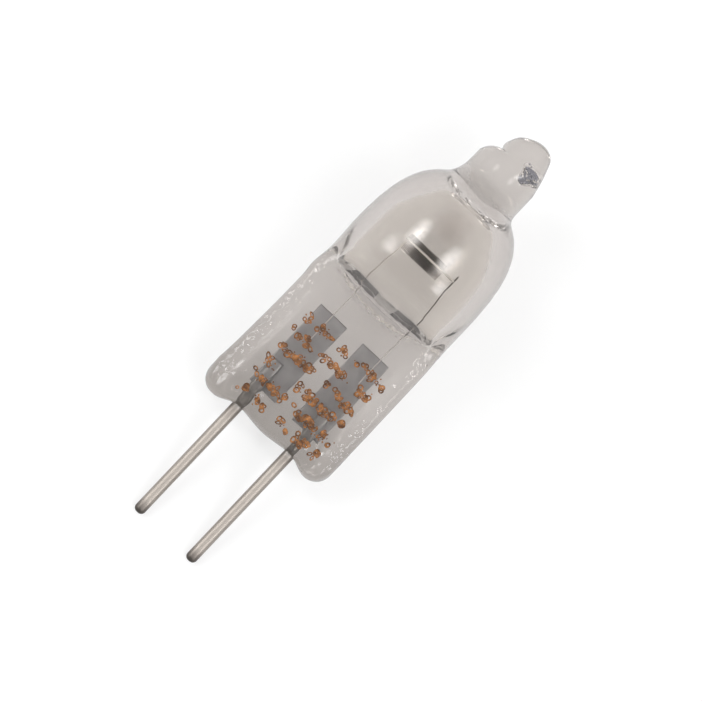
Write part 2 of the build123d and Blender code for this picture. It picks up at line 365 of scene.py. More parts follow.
# %% [markdown]
# ## Fired ink
# The print on the seal is a ceramic ink that was fired on: orange-brown, matt, a little thick, and worn.
# One flat colour would look like plastic, so a noise of a third of a millimetre moves it from dark brown to
# orange.

# %% Ink material
INK_PATCH = 1 / 3

ink, tree, shader, on_lamp = start_material("fired_ceramic_ink", Roughness=0.6)
wear = add_node(tree, "ShaderNodeTexNoise", {}, {"Vector": on_lamp, "Scale": 1 / INK_PATCH, "Detail": 3.0})
shade = add_node(tree, "ShaderNodeValToRGB", {}, {"Fac": wear.outputs["Fac"]}, [
    (0.4, "#522f10"), (0.74, "#b97b42"),
])
tree.links.new(shade.outputs["Color"], shader.inputs["Base Color"])
print("ink ready:", ink.name)

# %% [markdown]
# ## Curves and rings
# The envelope, the pins and the foils all have sections that change along the lamp. Bevelled boxes and
# cylinders would miss those changes, so each piece is drawn as a stack of rings with a skin over them. A
# curve through a few chosen sizes gives each ring its width and depth, and each ring has its points evenly
# spaced along its quarters, so that the skin has no long thin faces.

# %% Curves and rings
def curve_through(knots):
    """A smooth function through the given (place, value) pairs, with no overshoot between them."""
    xs, ys = np.array(sorted(knots), float).T
    steps = np.diff(ys) / np.diff(xs)
    slopes = np.zeros(len(xs))
    slopes[0], slopes[-1] = steps[0], steps[-1]
    same_way = steps[:-1] * steps[1:] > 0
    middle = 2 * steps[:-1] * steps[1:] / np.where(same_way, steps[:-1] + steps[1:], 1)
    slopes[1:-1] = np.where(same_way, middle, 0)

    def curve(x):
        x = np.clip(x, xs[0], xs[-1])
        i = np.clip(np.searchsorted(xs, x) - 1, 0, len(xs) - 2)
        run = xs[i + 1] - xs[i]
        t = (x - xs[i]) / run
        rest = 1 - t
        ends = ys[i] * (1 + 2 * t) * rest**2 + ys[i + 1] * (3 - 2 * t) * t**2
        return ends + run * (slopes[i] * t * rest**2 - slopes[i + 1] * rest * t**2)

    return curve


def quarter(half_width, half_depth, squareness, count):
    """Evenly spaced points of a quarter of a rounded section, from its side to its middle."""
    angle = np.linspace(0, math.pi / 2, 600)
    x = half_width * np.cos(angle) ** (2 / squareness)
    x[-1] = 0
    y = half_depth * np.sin(angle) ** (2 / squareness)
    run = np.concatenate(([0], np.cumsum(np.hypot(np.diff(x), np.diff(y)))))
    even = np.linspace(0, run[-1], count + 1)[:-1]
    return np.interp(even, run, x), np.interp(even, run, y)


def ring(left, right, half_depth, squareness, count):
    """A closed ring of 4 * count points, from the right side round the back, the left and the front."""
    xr, yr = quarter(right, half_depth, squareness, count)
    xl, yl = quarter(left, half_depth, squareness, count)
    back = np.array([(0, half_depth)])
    right_back = np.column_stack((xr, yr))
    left_back = np.concatenate((back, np.column_stack((-xl, yl))[:0:-1]))
    left_front = np.column_stack((-xl, -yl))
    right_front = np.concatenate((-back, np.column_stack((xr, -yr))[:0:-1]))
    return np.concatenate((right_back, left_back, left_front, right_front))


def raised(section, height):
    """A flat ring with all its points at one height."""
    return np.column_stack((section, np.full(len(section), height)))


print("a round ring of four points:", ring(1, 1, 1, 2, 1).round(2).tolist())

# %% [markdown]
# ## From rings to a piece
# A skin joins each ring to the next with faces. A ring that shrinks to a line or a point closes the end,
# once its doubles are merged. The finished mesh takes its place on the table, and its object stays at the
# origin.

# %% Skins and pieces
MERGE_WITHIN = 0.0005
DISSOLVE_WITHIN = 0.0002


def skin(rings, inside_out=False):
    """Vertices and faces over a stack of rings, facing outwards, or inwards for the wall of a hollow."""
    around = len(rings[0])
    faces = []
    for low in range(0, (len(rings) - 1) * around, around):
        high = low + around
        for i in range(around):
            j = (i + 1) % around
            face = [low + i, low + j, high + j, high + i]
            faces.append(face[::-1] if inside_out else face)
    return np.concatenate(rings), faces


def place_piece(name, mesh):
    """Puts a mesh drawn on the lamp's axes in its place, smooth."""
    mesh.transform(LAMP_MM)
    mesh.shade_smooth()
    piece = bpy.data.objects.new(name, mesh)
    bpy.context.scene.collection.objects.link(piece)
    triangles = sum(len(face.vertices) - 2 for face in mesh.polygons)
    print(name, triangles, "triangles")
    return piece


def mesh_piece(name, skins, material):
    """A piece from skins in millimetres on the lamp's axes. Each point keeps the number of its skin."""
    vertices, faces, numbers = [], [], []
    for number, (points, skin_faces) in enumerate(skins):
        start = len(vertices)
        vertices.extend(points.tolist())
        faces.extend([start + i for i in face] for face in skin_faces)
        numbers.extend([number] * len(points))
    mesh = bpy.data.meshes.new(name)
    mesh.from_pydata(vertices, [], faces)
    mesh.attributes.new("skin_number", "FLOAT", "POINT").data.foreach_set("value", numbers)
    mesh.materials.append(material)
    work = bmesh.new()
    work.from_mesh(mesh)
    bmesh.ops.remove_doubles(work, verts=work.verts, dist=MERGE_WITHIN)
    bmesh.ops.dissolve_degenerate(work, edges=work.edges, dist=DISSOLVE_WITHIN)
    work.to_mesh(mesh)
    work.free()
    return place_piece(name, mesh)


print("pieces merge points within", MERGE_WITHIN, "mm")

# %% [markdown]
# ## The seal, the shoulder and the bulb
# The pressed seal is a broad flat web between two raised rims. Its foot sags into lobes round the pins, as
# soft glass does when the jaws let go. Above it, the shoulder opens to the round bulb. Each ring is a blend
# of a flat, squarish section and a round one, and how far it has bulged follows a curve over the height.
# The foot is a ring that shrinks to a line between front and back, rounded at its edge.

# %% Seal, shoulder and bulb
RING_QUARTER = 62
BULB_TOP = 14.1
EDGE_LEFT = curve_through([
    (0, 4.66), (7.9, 4.43), (8.8, 4.5), (10.3, 4.36), (12.5, 4.42), (BULB_TOP, 4.34),
])
EDGE_RIGHT = curve_through([
    (0, 4.53), (7.9, 4.49), (8.8, 4.47), (10.3, 4.43), (12.5, 4.42), (BULB_TOP, 4.34),
])
SEAL_DEPTH = 1.55
SEAL_SQUARENESS = 6
BULB_DEPTH = curve_through([(12.5, 4.41), (13.0, 4.41), (BULB_TOP, 4.34)])
BULGE = curve_through([
    (8.3, 0), (8.7, 0.02), (9.2, 0.09), (9.7, 0.2), (10.1, 0.32), (10.6, 0.51), (11.2, 0.74), (11.8, 0.9),
    (12.4, 0.98), (12.9, 1),
])
WEB_RECESS = 0.3
WEB_FADE = curve_through([(7.5, 1), (8.7, 0)])
RIM_WIDTH = 0.75
RIM_SLOPE = 0.9
RIM_SHIFT = 0.3
FOOT_WAVE = curve_through([
    (-4.6, -0.45), (-3.45, -0.45), (-2, 0.05), (0, -0.14), (2, 0.05), (3.45, -0.34), (4.6, -0.34),
])
FOOT_CORNER = 1.05
FOOT_EDGE = 0.9
FOOT_TOP = 2.4
SEAL_STEP = 0.09


def smooth_step(value):
    """0 below 0, 1 above 1, and a soft rise between them."""
    value = np.clip(value, 0, 1)
    return value * value * (3 - 2 * value)


def foot_height(x):
    """Height of the seal's foot: the lobes, and the rounded corners at both sides."""
    edge = np.where(x < 0, EDGE_LEFT(0), EDGE_RIGHT(0))
    out = np.clip((np.abs(x) - edge + FOOT_CORNER) / FOOT_CORNER, 0, 1)
    return FOOT_WAVE(x) + FOOT_CORNER * (1 - np.sqrt(1 - out**2))


def seal_section(height):
    """One ring of the seal, the shoulder or the bulb, with the web pressed in between the rims."""
    edges = (EDGE_LEFT(height), EDGE_RIGHT(height))
    flat = ring(*edges, SEAL_DEPTH, SEAL_SQUARENESS, RING_QUARTER)
    round_bulb = ring(*edges, BULB_DEPTH(height), 2, RING_QUARTER)
    section = flat + BULGE(height) * (round_bulb - flat)
    x, depth = section.T
    in_web = smooth_step((np.where(x < 0, *edges) - RIM_WIDTH - np.abs(x)) / RIM_SLOPE + RIM_SHIFT)
    recess = np.sign(depth) * WEB_RECESS * WEB_FADE(height) * in_web * np.minimum(1, np.abs(depth))
    section[:, 1] -= recess
    return section


outer_rings = []
foot_x, foot_depth = seal_section(0).T
for step in np.sin(np.linspace(0, math.pi / 2, 16)):
    depth = foot_depth * step
    from_edge = np.clip(np.abs(foot_depth) - np.abs(depth), 0, FOOT_EDGE)
    rise = FOOT_EDGE - np.sqrt(FOOT_EDGE**2 - (FOOT_EDGE - from_edge) ** 2)
    outer_rings.append(np.column_stack((foot_x, depth, foot_height(foot_x) + rise)))
for share in np.linspace(0, 1, 24)[1:]:
    section = seal_section(share * FOOT_TOP)
    lift = (foot_height(section[:, 0]) + FOOT_EDGE) * (1 - share) + share * FOOT_TOP
    outer_rings.append(np.column_stack((section, lift)))
for height in np.arange(FOOT_TOP + SEAL_STEP, BULB_TOP, SEAL_STEP):
    outer_rings.append(raised(seal_section(height), height))
print("seal to bulb:", len(outer_rings), "rings of", len(outer_rings[0]))

# %% [markdown]
# ## The dome, the neck and the tip
# Above the bulb come the dome, a straight neck, and a tip that leans to one side where the exhaust tube was
# melted off. The dome's front and back slope into the neck more gently than its sides. The tip leans, so
# its rings have a middle of their own and a left and a right edge on either side of it.

# %% Dome, neck and tip
DOME_TOP = 17.0
TIP_FOOT = 20.0
TIP_ROUND = 0.26
TIP_END = 22.56
DOME_STEP = 0.12
NECK_STEP = 0.08
TIP_STEP = 0.04
DOME = [
    (BULB_TOP, 4.34), (15.0, 4.2), (15.65, 4.04), (16.3, 3.8), (16.8, 3.54), (17.2, 3.24), (17.5, 2.97),
]
DOME_LEFT = curve_through(DOME + [
    (17.75, 2.68), (18.0, 2.42), (18.3, 2.24), (18.6, 2.13), (19.0, 2.06), (TIP_FOOT, 2.03),
])
DOME_RIGHT = curve_through(DOME + [
    (17.75, 2.66), (17.95, 2.36), (18.1, 2.18), (18.3, 2.07), (18.6, 2.03), (TIP_FOOT, 2.03),
])
NECK_DEPTH = curve_through([
    (BULB_TOP, 4.34), (15.0, 4.2), (15.65, 4.04), (16.3, 3.79), (16.8, 3.51), (17.3, 3.21), (17.8, 2.91),
    (18.3, 2.61), (18.8, 2.35), (19.3, 2.16), (TIP_FOOT, 2.03),
])
TIP_LEFT = curve_through([
    (TIP_FOOT, -2.03), (20.25, -1.91), (20.5, -1.73), (20.7, -1.47), (20.84, -1.16), (20.9, -1.14),
    (21.0, -1.2), (21.15, -1.21), (21.5, -1.1), (21.8, -0.96), (22.1, -0.7), (22.3, -0.37), (22.45, -0.02),
    (22.53, 0.27), (TIP_END, 0.55),
])
TIP_RIGHT = curve_through([
    (TIP_FOOT, 2.03), (20.4, 1.95), (20.85, 1.85), (21.3, 1.72), (21.7, 1.58), (22.0, 1.47), (22.2, 1.36),
    (22.4, 1.14), (22.5, 0.88), (TIP_END, 0.55),
])
TIP_DEPTH = curve_through([
    (TIP_FOOT, 2.03), (20.5, 1.9), (20.9, 1.73), (21.3, 1.57), (21.7, 1.41), (22.0, 1.27), (22.25, 1.1),
    (22.4, 0.9), (22.49, 0.66), (22.54, 0.4), (TIP_END, 0),
])
TIP_SQUARENESS = curve_through([(TIP_FOOT, 2), (21.0, 2.6), (TIP_END, 2.8)])
TIP_MIDDLE = curve_through([(TIP_FOOT, 0), (20.5, 0.1), (21.2, 0.3), (22.0, 0.36), (TIP_END, 0.55)])

dome_heights = np.arange(BULB_TOP, DOME_TOP, DOME_STEP)
neck_heights = np.arange(DOME_TOP, TIP_FOOT, NECK_STEP)
for height in np.concatenate((dome_heights, neck_heights)):
    section = ring(DOME_LEFT(height), DOME_RIGHT(height), NECK_DEPTH(height), 2, RING_QUARTER)
    outer_rings.append(raised(section, height))
tip_heights = np.arange(TIP_FOOT, TIP_END - TIP_ROUND, TIP_STEP)
end_heights = TIP_END - TIP_ROUND * np.linspace(1, 0, 14) ** 2
for height in np.concatenate((tip_heights, end_heights)):
    middle = TIP_MIDDLE(height)
    sides = (middle - TIP_LEFT(height), TIP_RIGHT(height) - middle)
    section = ring(*sides, TIP_DEPTH(height), TIP_SQUARENESS(height), RING_QUARTER)
    outer_rings.append(raised(section + (middle, 0), height))
print("outer skin:", len(outer_rings), "rings of", len(outer_rings[0]))

# %% [markdown]
# ## Press marks
# The jaws leave small dents along the rims, which sparkle, and crinkles along their upper edge. The web
# keeps a slow ripple, stronger at the foot, and the melting of the exhaust tube leaves a faint ridge round
# the neck. Bump in the material wouldn't bend the light through the glass as these do, so they are real
# dents in the skin: a cell pattern pushes the rims in, and slow noises move the rest by a few hundredths of
# a millimetre.

# %% Press marks
PRESS_TOP = 9.9
PRESS_FADE = 1.2
DENT_SIZE = 0.42
DENT_DEPTH = 0.28
DENT_REACH = 0.55
DENT_BAND = 1.0
DENT_BAND_FADE = 0.3
RIPPLE_SIZE = 1.1
RIPPLE_DEPTH = 0.03
FOOT_RIPPLE = 4.5
FOOT_RIPPLE_TOP = 3.2
FOOT_RIPPLE_FADE = 2.2
CRINKLE_SIZE = 0.42
CRINKLE_STRETCH = 1.5
CRINKLE_DEPTH = 0.06
CRINKLE_FOOT = 8.4
CRINKLE_HEAD = 10.1
CRINKLE_FADE = 0.5
RIDGE_HEIGHT = 18.35
RIDGE_WIDTH = 0.22
RIDGE_DEPTH = 0.05


def pressed_in(x, depth, height):
    """How far the crinkles and the ridge, and then the dents and the ripple, push a point in."""
    spot = Vector((x, depth, height))
    in_band = smooth_step((height - CRINKLE_FOOT) / CRINKLE_FADE)
    in_band *= smooth_step((CRINKLE_HEAD - height) / CRINKLE_FADE)
    crinkle_spot = Vector((x, depth, CRINKLE_STRETCH * height)) / CRINKLE_SIZE
    crinkle = CRINKLE_DEPTH * in_band * noise.noise(crinkle_spot)
    on_ridge = math.exp(-(((height - RIDGE_HEIGHT) / RIDGE_WIDTH) ** 2))
    ridge = RIDGE_DEPTH * on_ridge * noise.noise(Vector((x, depth, 0)) / RIPPLE_SIZE)
    fade = float(smooth_step((PRESS_TOP - height) / PRESS_FADE))
    if not fade:
        return crinkle + ridge, 0.0
    edge = EDGE_LEFT(height) if x < 0 else EDGE_RIGHT(height)
    on_rim = float(smooth_step((abs(x) - edge + DENT_BAND) / DENT_BAND_FADE))
    nearest = noise.voronoi(spot / DENT_SIZE)[0][0]
    dent = on_rim * DENT_DEPTH * max(0.0, DENT_REACH - nearest)
    sag = 1 + FOOT_RIPPLE * float(smooth_step((FOOT_RIPPLE_TOP - height) / FOOT_RIPPLE_FADE))
    slow = RIPPLE_DEPTH * sag * noise.noise(spot / RIPPLE_SIZE)
    return crinkle + ridge, fade * (dent + slow)


for points in outer_rings:
    for point in points:
        depth = point[1]
        for push in pressed_in(*point):
            point[1] -= math.copysign(min(abs(depth), push), depth)
print("press marks up to", DENT_DEPTH * DENT_REACH, "mm deep")

# %% [markdown]
# ## The hollow
# The hollow starts as a narrow slot above the seal, opens to a round bulb, and ends in a flat crown under
# the neck. A Boolean cut could take it out of the glass, but it leaves thin faces, which show as streaks in
# anything clear. So it is a skin of its own whose wall faces inwards, with the glass between it and the
# outer skin. The rings stand closer at the crown, where the wall turns in quickly.

# %% Hollow
HOLLOW_QUARTER = 40
HOLLOW_FOOT = 9.9
HOLLOW_BELLY = 12.7
CROWN_ROUND = 0.25
CROWN_TOP = 17.15
HOLLOW_STEP = 0.06
HOLLOW_WIDTH = curve_through([(HOLLOW_FOOT, 3.2), (10.0, 3.36), (10.2, 3.42), (10.6, 3.45), (12.4, 3.47)])
HOLLOW_DEPTH = curve_through([
    (HOLLOW_FOOT, 0), (9.96, 0.3), (10.12, 0.68), (10.4, 1.18), (10.75, 1.74), (11.05, 2.16), (11.4, 2.56),
    (11.85, 3.02), (12.3, 3.34), (HOLLOW_BELLY, 3.47),
])
HOLLOW_SQUARE = curve_through([(HOLLOW_FOOT, 5), (10.4, 4), (11.4, 2.3), (12.4, 2)])
HOLLOW_ROUND = curve_through([
    (HOLLOW_BELLY, 3.47), (13.2, 3.45), (14.5, 3.3), (15.4, 2.98), (16.0, 2.64), (16.4, 2.36), (16.75, 2.06),
    (17.0, 1.75), (17.1, 1.5), (17.14, 1.2), (CROWN_TOP, 0),
])

hollow_rings = []
slot_heights = np.arange(HOLLOW_FOOT + 0.05, HOLLOW_BELLY, HOLLOW_STEP)
for height in np.concatenate(([HOLLOW_FOOT, HOLLOW_FOOT + 0.02], slot_heights)):
    width = HOLLOW_WIDTH(height)
    section = ring(width, width, HOLLOW_DEPTH(height), HOLLOW_SQUARE(height), HOLLOW_QUARTER)
    hollow_rings.append(raised(section, height))
round_heights = np.arange(HOLLOW_BELLY, CROWN_TOP - CROWN_ROUND, HOLLOW_STEP)
crown_heights = CROWN_TOP - CROWN_ROUND * np.linspace(1, 0, 24) ** 2
for height in np.concatenate((round_heights, crown_heights)):
    radius = HOLLOW_ROUND(height)
    hollow_rings.append(raised(ring(radius, radius, radius, 2, HOLLOW_QUARTER), height))
print("hollow:", len(hollow_rings), "rings of", len(hollow_rings[0]))

# %% [markdown]
# ## The bubble, and the whole envelope
# When the exhaust tube was pinched off, a small dented bubble stayed in the tip. It is a stack of rings
# too, along a line that leans with the tip, and a noise dents them. The three skins then make one mesh: the
# outside, the wall of the hollow and the wall of the bubble.

# %% Bubble and envelope
BUBBLE_FOOT = Vector((0.62, 0, 20.0))
BUBBLE_HEAD = Vector((0.98, 0, 21.05))
BUBBLE_R = curve_through([(0, 0), (0.03, 0.15), (0.3, 0.26), (0.8, 0.5), (0.95, 0.42), (1, 0)])
BUBBLE_QUARTER = 12
BUBBLE_DENT = 0.3
DENTS_ACROSS = 6
DENTS_ALONG = 4

bubble_rings = []
bubble_turn = Vector((0, 0, 1)).rotation_difference(BUBBLE_HEAD - BUBBLE_FOOT).to_matrix()
for share in np.sin(np.linspace(-math.pi / 2, math.pi / 2, 30)) / 2 + 0.5:
    radius = float(BUBBLE_R(share))
    flat = raised(ring(radius, radius, radius, 2, BUBBLE_QUARTER), 0.0)
    spots = [Vector((*point[:2] * DENTS_ACROSS, share * DENTS_ALONG)) for point in flat]
    flat *= np.array([[1 + BUBBLE_DENT * noise.noise(spot)] for spot in spots])
    bubble_rings.append(flat @ np.array(bubble_turn).T + np.array(BUBBLE_FOOT.lerp(BUBBLE_HEAD, share)))

envelope_skins = [skin(outer_rings), skin(hollow_rings, True), skin(bubble_rings, True)]
envelope = mesh_piece("quartz_bulb", envelope_skins, quartz)
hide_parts("quartz_envelope")
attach(envelope, "root")

# %% [markdown]
# ## Contact pins
# Each pin is a round wire with a rounded end. Inside the seal it was pressed to a flat tongue that lies on
# its foil. A swept circle would do for the wire but not for the tongue, so both are one stack of rings, and
# a curve over the height says how far a ring is flattened.

# %% Contact pins
PIN_X = {"left": -2.0, "right": 2.0}
PIN_R = 0.35
PIN_QUARTER = 10
PIN_END = -8.25
PIN_END_R = 0.3
PIN_TONGUE = curve_through([(0.2, 0), (1.4, 1)])
PIN_HEAD = 3.45
PIN_HEIGHTS = np.concatenate((
    PIN_END + PIN_END_R * (1 - np.cos(np.linspace(0, math.pi / 2, 10))),
    np.linspace(-7.9, 0.1, 30),
    np.linspace(0.2, PIN_HEAD, 30),
    [PIN_HEAD + 0.02],
))

for side, x in PIN_X.items():
    rings = []
    for height in PIN_HEIGHTS:
        below = min(PIN_END_R, max(0.0, PIN_END + PIN_END_R - height))
        radius = PIN_R - PIN_END_R + math.sqrt(PIN_END_R**2 - below**2)
        if height > PIN_HEAD or height == PIN_END:
            radius = 0.0
        flat = float(PIN_TONGUE(height))
        section = ring(radius, radius, radius * (1 - flat / 2), 2 + 2 * flat, PIN_QUARTER)
        rings.append(raised(section + (x, -flat * PIN_R / 2), height))
    pin = mesh_piece(f"drawn_pin_{side}", [skin(rings)], pin_metal)
    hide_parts(f"contact_pin_{side}")
    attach(pin, "root")

# %% [markdown]
# ## Foils
# Each foil is a thin strip with edges etched to a feather, so its section is a flat lens. A plane with
# Solidify would be quicker, but its edges would be square. A slow ripple keeps the strip from looking like
# a sheet of card.

# %% Foils
FOIL_EDGES = {"left": (-2.5, -0.5), "right": (0.73, 2.73)}
FOIL_FOOT = 1.58
FOIL_HEAD = 7.46
FOIL_THICK = 0.08
FOIL_QUARTER = 24
FOIL_RINGS = 60
FOIL_RIPPLE = 0.004
RIPPLES_ACROSS = 1.2
RIPPLES_ALONG = 0.8
FOIL_HEIGHTS = [FOIL_FOOT, *np.linspace(FOIL_FOOT, FOIL_HEAD, FOIL_RINGS), FOIL_HEAD]

for side, (left, right) in FOIL_EDGES.items():
    half = (right - left) / 2
    rings = []
    for height in FOIL_HEIGHTS:
        closed = not rings or len(rings) == FOIL_RINGS + 1
        section = ring(half, half, 0 if closed else FOIL_THICK / 2, 2, FOIL_QUARTER)
        section += ((left + right) / 2, FOIL_THICK / 2)
        spots = [Vector((x * RIPPLES_ACROSS, 0, height * RIPPLES_ALONG)) for x in section[:, 0]]
        section[:, 1] += [FOIL_RIPPLE * noise.noise(spot) for spot in spots]
        rings.append(raised(section, height))
    foil = mesh_piece(f"foil_strip_{side}", [skin(rings)], foil_metal)
    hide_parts(f"seal_foil_{side}")
    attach(foil, "root")

# %% [markdown]
# ## Geometry trees
# What follows a rule is made by Geometry Nodes. One helper starts a tree with its named inputs. The other
# turns a tree into a plain mesh: it sets each input by its identifier, reads the result, and removes the
# modifier with the object that carried it.

# %% Tree helpers
def start_tree(name, sizes):
    """A geometry tree with one named input for each size, and its two end nodes."""
    tree = bpy.data.node_groups.new(name, "GeometryNodeTree")
    for size, value in sizes.items():
        kind = "NodeSocketInt" if isinstance(value, int) else "NodeSocketFloat"
        tree.interface.new_socket(size, in_out="INPUT", socket_type=kind)
    tree.interface.new_socket("Geometry", in_out="OUTPUT", socket_type="NodeSocketGeometry")
    return tree, tree.nodes.new("NodeGroupInput").outputs, tree.nodes.new("NodeGroupOutput")


def tree_piece(name, tree, sizes):
    """Runs a tree with the given sizes and places its result as a plain mesh."""
    carrier = bpy.data.objects.new("carrier", bpy.data.meshes.new("carrier"))
    bpy.context.scene.collection.objects.link(carrier)
    modifier = carrier.modifiers.new("tree", "NODES")
    modifier.node_group = tree
    for item in tree.interface.items_tree:
        if item.in_out == "INPUT":
            modifier[item.identifier] = sizes[item.name]
    evaluated = carrier.evaluated_get(bpy.context.evaluated_depsgraph_get())
    mesh = bpy.data.meshes.new_from_object(evaluated)
    mesh.name = name
    carrier.modifiers.remove(modifier)
    bpy.data.objects.remove(carrier)
    return place_piece(name, mesh)


print("tree helpers ready")

# %% [markdown]
# ## The lines of the filament
# The filament is one wire: a leg from the left foil, a coil across the bulb, a straight tail along the
# coil's front, half a turn over the top, and a leg down to the right foil. Past the coil's end the tail is
# real; its stretch in front of the coil is a wire put where the coil's bright line of highlight runs, and
# the whole tail is painted near white as a highlight. Its points could be worked out in the script, but a
# tree keeps the turns, the pitch and the radii as named inputs. A spiral node makes the coil and the half
# turn, and bezier nodes make the legs and the tail. Each line is kept with the radius of its wire.

# %% Filament lines
COIL_LEFT = -1.48
COIL_HEIGHT = 13.45
COIL_TURN = (-math.pi / 2, 0, -math.pi / 2)
HOOK_X = 2.05
LEG_X = {"left": -1.58, "right": 2.1}
WELD_HEIGHT = 5.6
LEG_DEPTH = -0.06
LEG_BEND = 11.5
LEG_TOP = 12.6
HIGHLIGHT_TAIL_START = COIL_LEFT - 0.12
filament_sizes = {
    "Leg wire radius": 0.036, "Tail wire radius": 0.062, "Coil wire radius": 0.036, "Coil radius": 0.4,
    "Pitch": 0.09, "Turns": 30,
}

tree, given, result = start_tree("coiled_wire", filament_sizes)
lines = []
for start, turns in ((COIL_LEFT, given["Turns"]), (HOOK_X, 0.5)):
    reach = add_node(tree, "ShaderNodeMath", {"operation": "MULTIPLY"}, {0: given["Pitch"], 1: turns})
    spiral = add_node(tree, "GeometryNodeCurveSpiral", {}, {
        "Resolution": 40, "Rotations": turns, "Height": reach.outputs["Value"],
        "Start Radius": given["Coil radius"], "End Radius": given["Coil radius"],
    })
    lying = add_node(tree, "GeometryNodeTransform", {}, {
        "Geometry": spiral.outputs["Curve"], "Translation": (start, 0, COIL_HEIGHT), "Rotation": COIL_TURN,
    })
    lines.append((lying.outputs["Geometry"], "Coil wire radius"))
front = -filament_sizes["Coil radius"]
highlight_tail_depth = front - filament_sizes["Coil wire radius"] - filament_sizes["Tail wire radius"]
runs = [
    ("Leg wire radius", [
        (LEG_X["left"], LEG_DEPTH, WELD_HEIGHT), (LEG_X["left"], LEG_DEPTH, LEG_BEND),
        (COIL_LEFT, front, LEG_TOP), (COIL_LEFT, front, COIL_HEIGHT),
    ]),
    # Painted highlight: the tail runs straight along the coil's front, where its bright line shows.
    ("Tail wire radius", [(x, highlight_tail_depth, COIL_HEIGHT) for x in (HIGHLIGHT_TAIL_START, 0, 1.5, HOOK_X)]),
    ("Leg wire radius", [
        (LEG_X["right"], LEG_DEPTH, WELD_HEIGHT), (LEG_X["right"], LEG_DEPTH, LEG_BEND),
        (2.09, -front, LEG_TOP), (2.095, -front, COIL_HEIGHT),
    ]),
]
for radius, (start, start_handle, end_handle, end) in runs:
    run = add_node(tree, "GeometryNodeCurvePrimitiveBezierSegment", {}, {
        "Resolution": 24, "Start": start, "Start Handle": start_handle, "End Handle": end_handle, "End": end,
    })
    lines.append((run.outputs["Curve"], radius))
print("filament:", len(lines), "lines")

# %% [markdown]
# ## The wire of the filament
# The tail, which carries the painted highlight, is thicker than the rest, so each line needs a wire of its
# own radius. A curve object has one bevel for all its lines. Here a round profile is swept along each line,
# with its ends capped, and all of them are joined to one wire.

# %% Filament wire
both = add_node(tree, "GeometryNodeJoinGeometry")
for line, radius in lines:
    profile = add_node(tree, "GeometryNodeCurvePrimitiveCircle", {}, {
        "Resolution": 10, "Radius": given[radius],
    })
    swept = add_node(tree, "GeometryNodeCurveToMesh", {}, {
        "Curve": line, "Profile Curve": profile.outputs["Curve"], "Fill Caps": True,
    })
    tree.links.new(swept.outputs["Mesh"], both.inputs["Geometry"])
whole = add_node(tree, "GeometryNodeRealizeInstances", {}, {"Geometry": both.outputs["Geometry"]})
painted = add_node(tree, "GeometryNodeSetMaterial", {}, {
    "Geometry": whole.outputs["Geometry"], "Material": tungsten,
})
tree.links.new(painted.outputs["Geometry"], result.inputs["Geometry"])
filament = tree_piece("coiled_filament", tree, filament_sizes)
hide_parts("filament")
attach(filament, "root")

# %% [markdown]
# ## Where the print has held
# The front of the seal carries a print in fired ink that is half worn off. Here it is a plain field of
# small rings and dots in six bands, with no sign or word in it. A pattern in the glass's material would
# have no thickness and would bend with the glass's own gloss, so the ink is a thin piece of its own. A grid
# gives the bands, each of its points is copied and shaken about, and a noise takes out the points where the
# ink is worn off.

# %% Print points
WEAR_SCALE = 0.75
print_sizes = {
    "Width": 5.6, "Height": 5.4, "Across": 24, "Bands": 6, "Copies": 4, "Speck": 0.14, "Stroke": 0.058,
    "Shake": 0.24, "Wear": 0.45, "Seed": 4,
}

tree, given, result = start_tree("worn_print", print_sizes)
grid = add_node(tree, "GeometryNodeMeshGrid", {}, {
    "Size X": given["Width"], "Size Y": given["Height"],
    "Vertices X": given["Across"], "Vertices Y": given["Bands"],
})
copies = add_node(tree, "GeometryNodeDuplicateElements", {"domain": "POINT"}, {
    "Geometry": grid.outputs["Mesh"], "Amount": given["Copies"],
})
less = add_node(tree, "ShaderNodeMath", {"operation": "MULTIPLY"}, {0: given["Shake"], 1: -1.0})
low, high = (
    add_node(tree, "ShaderNodeCombineXYZ", {}, {"X": side, "Y": side})
    for side in (less.outputs["Value"], given["Shake"])
)
shake = add_node(tree, "FunctionNodeRandomValue", {"data_type": "FLOAT_VECTOR"}, {
    0: low.outputs["Vector"], 1: high.outputs["Vector"], "Seed": given["Seed"],
})
shaken = add_node(tree, "GeometryNodeSetPosition", {}, {
    "Geometry": copies.outputs["Geometry"], "Offset": shake.outputs["Value"],
})
held = add_node(tree, "ShaderNodeTexNoise", {}, {"Scale": WEAR_SCALE, "Detail": 1.0, "Roughness": 0.6})
bare = add_node(tree, "FunctionNodeCompare", {"operation": "LESS_THAN"}, {
    0: held.outputs["Fac"], 1: given["Wear"],
})
left = add_node(tree, "GeometryNodeDeleteGeometry", {}, {
    "Geometry": shaken.outputs["Geometry"], "Selection": bare.outputs["Result"],
})
print("print field", print_sizes["Width"], "by", print_sizes["Height"], "mm")

# %% [markdown]
# ## The rings and dots of the print
# Each speck is a stroke of ink, a flattened wire along an arc: a whole turn is a ring, and a short arc is a
# dot. Each point that is left takes one of them, at a random turn and size.

# %% Print specks
PRINT_MIDDLE = (0.3, -1.265, 3.7)
SPECK_SWEEPS = (360, 360, 40)
SPECK_SQUASH = (1, 0.8, 0.4)
SPECK_LEAST = (0.6, 0.6, 1)
SPECK_MOST = (1.15, 1.15, 1)

